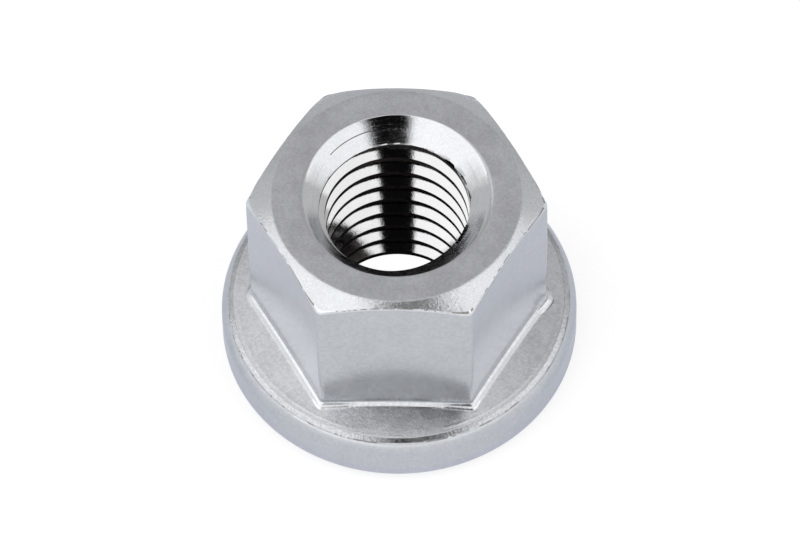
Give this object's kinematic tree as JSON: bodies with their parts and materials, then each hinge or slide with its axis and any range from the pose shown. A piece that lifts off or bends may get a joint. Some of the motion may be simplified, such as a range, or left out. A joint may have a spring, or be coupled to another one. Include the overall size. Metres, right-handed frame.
{
  "type": "collared hex nut",
  "caption": "Tall hexagon nut on a wide round collar, with a through thread countersunk at both ends, for drawing parts together without a washer.",
  "frame": {"origin": "centre of the flat bearing face under the collar", "axes": "+Z along the thread axis, from the bearing face to the top of the hexagon; +X through one corner of the hexagon; the flats next to the Y axis face +Y and -Y"},
  "size_m": [0.022, 0.022, 0.015],
  "materials": {
    "steel": "cold-formed stainless steel with a satin sheen; chamfer, rim bevel and countersinks turned bright"
  },
  "bodies": {
    "root": {"collar_nut": "steel"}
  },
  "joints": []
}
